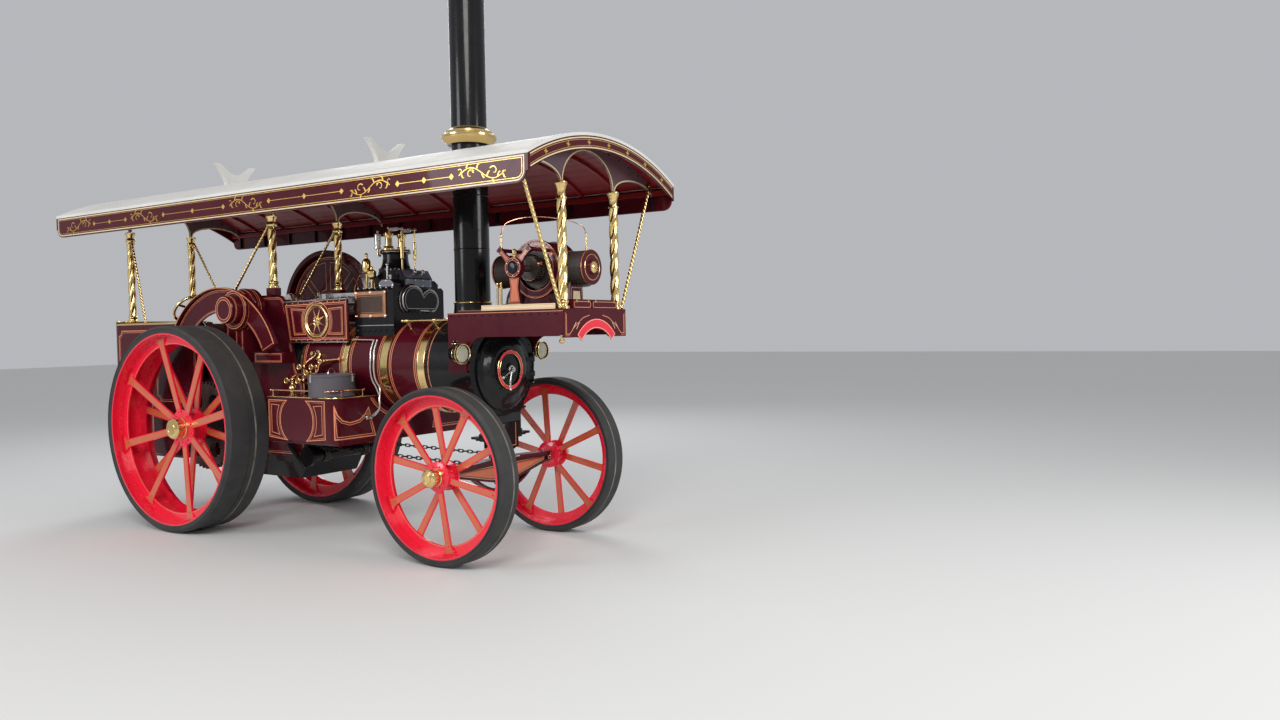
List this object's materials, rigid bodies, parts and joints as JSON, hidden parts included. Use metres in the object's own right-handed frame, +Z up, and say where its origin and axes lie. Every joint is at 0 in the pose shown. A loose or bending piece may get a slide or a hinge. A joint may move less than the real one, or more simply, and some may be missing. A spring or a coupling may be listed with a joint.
{
  "type": "showman's steam traction engine",
  "caption": "Road-going steam traction engine with a full-length canopy, a dynamo platform ahead of the chimney, spoked wheels with rubber tyres, and a tender.",
  "frame": {"origin": "on the ground, at the middle of the whole engine's box", "axes": "+X forward, +Y to the engine's left, +Z up"},
  "size_m": [6.745, 2.314, 5.7],
  "materials": {
    "maroon_paint": "gloss varnished",
    "red_paint": "gloss",
    "black_paint": "gloss",
    "white_paint": "satin",
    "brass": "polished",
    "bright_steel": "polished",
    "dark_iron": "oiled",
    "rubber": "matt, worn"
  },
  "bodies": {
    "root": {"boiler": "maroon_paint", "boiler_bands": "brass", "firebox": "black_paint", "smokebox": "black_paint", "chimney": "black_paint", "chimney_extension": "black_paint", "perch_bracket": "black_paint", "dynamo_platform": "maroon_paint", "dynamo": "maroon_paint", "cylinder_block": "black_paint", "cylinder_cover": "bright_steel", "safety_valves": "brass", "motion_covers": "maroon_paint", "motion": "bright_steel", "crankshaft_bearings": "dark_iron", "hornplates": "maroon_paint", "gear_covers": "maroon_paint", "tender": "black_paint", "rear_axle": "dark_iron", "belly_tank": "maroon_paint", "hose_drum": "dark_iron", "steering_column": "dark_iron", "steering_chains": "dark_iron", "lamps": "brass", "canopy_roof": "white_paint", "canopy_fascia": "maroon_paint", "canopy_frames": "maroon_paint", "canopy_columns": "brass", "canopy_stays": "brass", "chimney_cradles": "white_paint", "footplate_controls": "bright_steel"},
    "rear_right": {"rear_wheel_right": "red_paint", "rear_tyre_right": "rubber", "rear_hub_cap_right": "brass", "final_gear": "dark_iron"},
    "rear_left": {"rear_wheel_left": "red_paint", "rear_tyre_left": "rubber", "rear_hub_cap_left": "brass"},
    "front_right": {"front_wheel_right": "red_paint", "front_tyre_right": "rubber", "front_hub_cap_right": "brass"},
    "front_left": {"front_wheel_left": "red_paint", "front_tyre_left": "rubber", "front_hub_cap_left": "brass"},
    "front_axle": {"front_axle": "maroon_paint"},
    "flywheel": {"flywheel": "maroon_paint"},
    "dynamo_armature": {"dynamo_armature": "dark_iron"},
    "smokebox_door": {"smokebox_door": "black_paint"},
    "steering_wheel": {"steering_wheel": "brass"}
  },
  "joints": [
    {"name": "rear_right_spin", "type": "hinge", "parent": "root", "child": "rear_right", "pos_m": [-1.3825, -0.927, 1.068], "axis": [0, 1, 0], "continuous": true},
    {"name": "rear_left_spin", "type": "hinge", "parent": "root", "child": "rear_left", "pos_m": [-1.3825, 0.927, 1.068], "axis": [0, 1, 0], "continuous": true},
    {"name": "front_axle_steer", "type": "hinge", "parent": "root", "child": "front_axle", "pos_m": [2.1075, 0, 0.775], "axis": [0, 0, 1], "range_deg": [-24, 24], "deforming": ["steering_chains"]},
    {"name": "front_right_spin", "type": "hinge", "parent": "front_axle", "child": "front_right", "pos_m": [2.1075, -0.805, 0.775], "axis": [0, 1, 0], "continuous": true},
    {"name": "front_left_spin", "type": "hinge", "parent": "front_axle", "child": "front_left", "pos_m": [2.1075, 0.805, 0.775], "axis": [0, 1, 0], "continuous": true},
    {"name": "flywheel_spin", "type": "hinge", "parent": "root", "child": "flywheel", "pos_m": [-0.8825, 0.575, 2.29], "axis": [0, 1, 0], "continuous": true},
    {"name": "dynamo_spin", "type": "hinge", "parent": "root", "child": "dynamo_armature", "pos_m": [2.6675, 0, 2.57], "axis": [0, 1, 0], "continuous": true},
    {"name": "smokebox_door_hinge", "type": "hinge", "parent": "root", "child": "smokebox_door", "pos_m": [2.1725, 0.42, 1.665], "axis": [0, 0, 1], "range_deg": [0, 90]},
    {"name": "steering_wheel_turn", "type": "hinge", "parent": "root", "child": "steering_wheel", "pos_m": [-1.9425, -0.455, 2.33], "axis": [-0.7405, 0, 0.672], "range_deg": [-288, 288]}
  ],
  "couplings": [
    {"joint": "steering_wheel_turn", "follows": "front_axle_steer", "ratio": 12}
  ]
}
